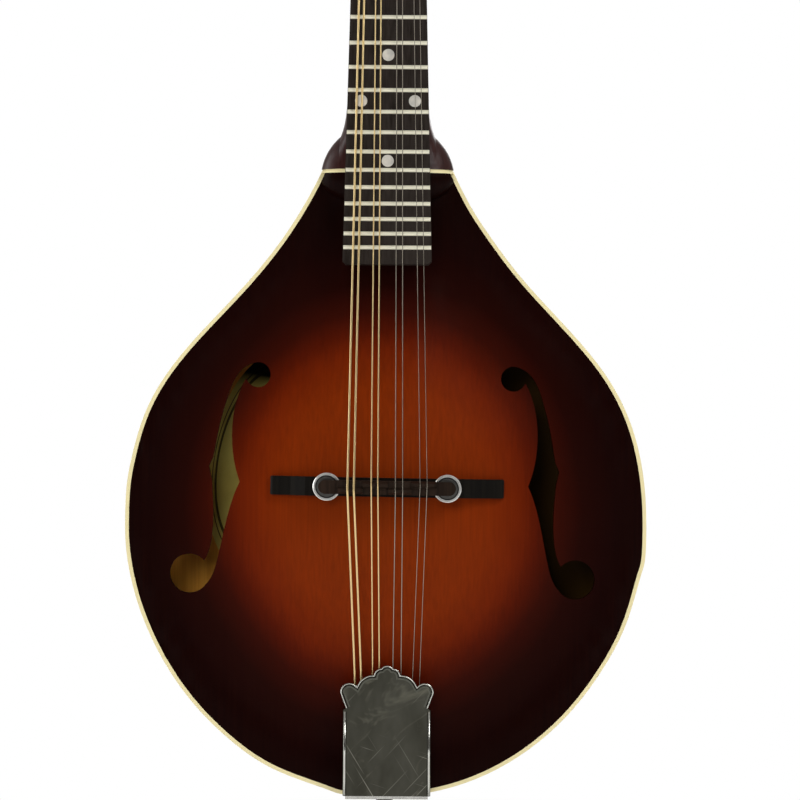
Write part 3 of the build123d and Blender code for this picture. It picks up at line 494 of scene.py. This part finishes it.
# painted reflection in a band further in from the edge
bead("cover_edge_sheen", scroll_path(), 1.75, 0.40, 0.02, PAINTED_SHEEN)
for side, label in ((1, "treble"), (-1, "bass")):
    # bright side strips are painted highlights on the bevels, each with a line of painted shade beside it
    strip = [(side * 20.05, -16.2), (side * 20.05, -56.2)]
    bead(f"cover_strip_{label}", strip if side < 0 else strip[::-1], 0.0, 0.55, 0.27, EDGE_HIGHLIGHT, -0.20)
    bead(f"cover_strip_line_{label}", [(x - side * 0.75, y) for x, y in strip], 0.0, 0.14, 0.03, GROOVE_SHADE)

# ---------------------------------------------------------------- studio
FLOOR_Z = CAD_BOX[0][2] - 0.12


def studio():
    bpy.ops.mesh.primitive_circle_add(vertices=96, radius=2.2, fill_type="NGON", location=(0, 0, FLOOR_Z))
    floor = bpy.context.object
    floor.name = "floor"
    s = Shade("floor_paper", roughness=0.8, specular=0.2)
    x, y, _ = s.axes()
    far = s.math("SQRT", s.math("ADD", s.math("MULTIPLY", x, x), s.math("MULTIPLY", y, y)))
    s.finish(s.mix(s.noise(s.coords, 6), (0.86, 0.86, 0.85), (0.9, 0.9, 0.89)))
    white = s.node("ShaderNodeEmission")
    white.inputs["Strength"].default_value = 1.0
    fade = s.node("ShaderNodeMixShader")
    s.put(fade.inputs[0], s.span(far, 0.4, 1.1))
    s.put(fade.inputs[1], s.bsdf.outputs[0])
    s.put(fade.inputs[2], white.outputs[0])
    s.put(s.out.inputs[0], fade.outputs[0])
    floor.data.materials.append(s.material)

    world = bpy.data.worlds.new("studio")
    bpy.context.scene.world = world
    world.use_nodes = True
    tree = world.node_tree
    tree.nodes.clear()
    out = tree.nodes.new("ShaderNodeOutputWorld")
    mix = tree.nodes.new("ShaderNodeMixShader")
    path = tree.nodes.new("ShaderNodeLightPath")
    room, backdrop = tree.nodes.new("ShaderNodeBackground"), tree.nodes.new("ShaderNodeBackground")
    coords, split = tree.nodes.new("ShaderNodeTexCoord"), tree.nodes.new("ShaderNodeSeparateXYZ")
    depth = tree.nodes.new("ShaderNodeMapRange")
    for key, value in (("From Min", -0.9), ("From Max", 0.5), ("To Min", ROOM_FRONT), ("To Max", ROOM_BACK)):
        depth.inputs[key].default_value = value
    tree.links.new(coords.outputs["Generated"], split.inputs[0])
    tree.links.new(split.outputs[1], depth.inputs["Value"])
    tree.links.new(depth.outputs[0], room.inputs[1])
    room.inputs[0].default_value = (1.0, 0.98, 0.95, 1)
    backdrop.inputs[0].default_value = (1, 1, 1, 1)
    backdrop.inputs[1].default_value = 1.0
    tree.links.new(path.outputs["Is Camera Ray"], mix.inputs[0])
    tree.links.new(room.outputs[0], mix.inputs[1])
    tree.links.new(backdrop.outputs[0], mix.inputs[2])
    tree.links.new(mix.outputs[0], out.inputs[0])

    for name, where, across, tall, power in LIGHTS:
        light = bpy.data.lights.new(name, "AREA")
        light.shape = "RECTANGLE"
        light.size, light.size_y = across, tall
        light.energy = power
        body = bpy.data.objects.new(name, light)
        bpy.context.scene.collection.objects.link(body)
        body.location = where
        body.visible_glossy = name != "front"
        body.rotation_euler = (Vector((0, 0, 0.2)) - Vector(where)).to_track_quat("-Z", "Y").to_euler()


# the room is dark in front and light behind; lights are name, place, width, height and power
ROOM_FRONT, ROOM_BACK = 0.04, 0.55
LIGHTS = [("key", (1.0, -1.25, 1.35), 0.7, 0.7, 13), ("front", (-0.35, -1.7, 0.55), 0.6, 0.6, 7),
          ("side", (-1.6, -0.2, 0.5), 0.8, 1.4, 9), ("back", (0.4, 1.6, 1.0), 1.4, 1.4, 18)]

studio()
CAMERA_ROLL = -0.33           # degrees
scene = bpy.context.scene
scene.view_settings.view_transform = "Standard"
camera = bpy.data.objects.new("camera", bpy.data.cameras.new("camera"))
scene.collection.objects.link(camera)
camera.data.sensor_width = 36
camera.data.lens = 36 * 1.7 / 0.3836
camera.data.clip_start, camera.data.clip_end = 0.05, 50
camera.location = place(6.5, 190.14, 22.5 + 1700)
camera.rotation_euler = (math.radians(90), math.radians(CAMERA_ROLL), 0)
scene.camera = camera
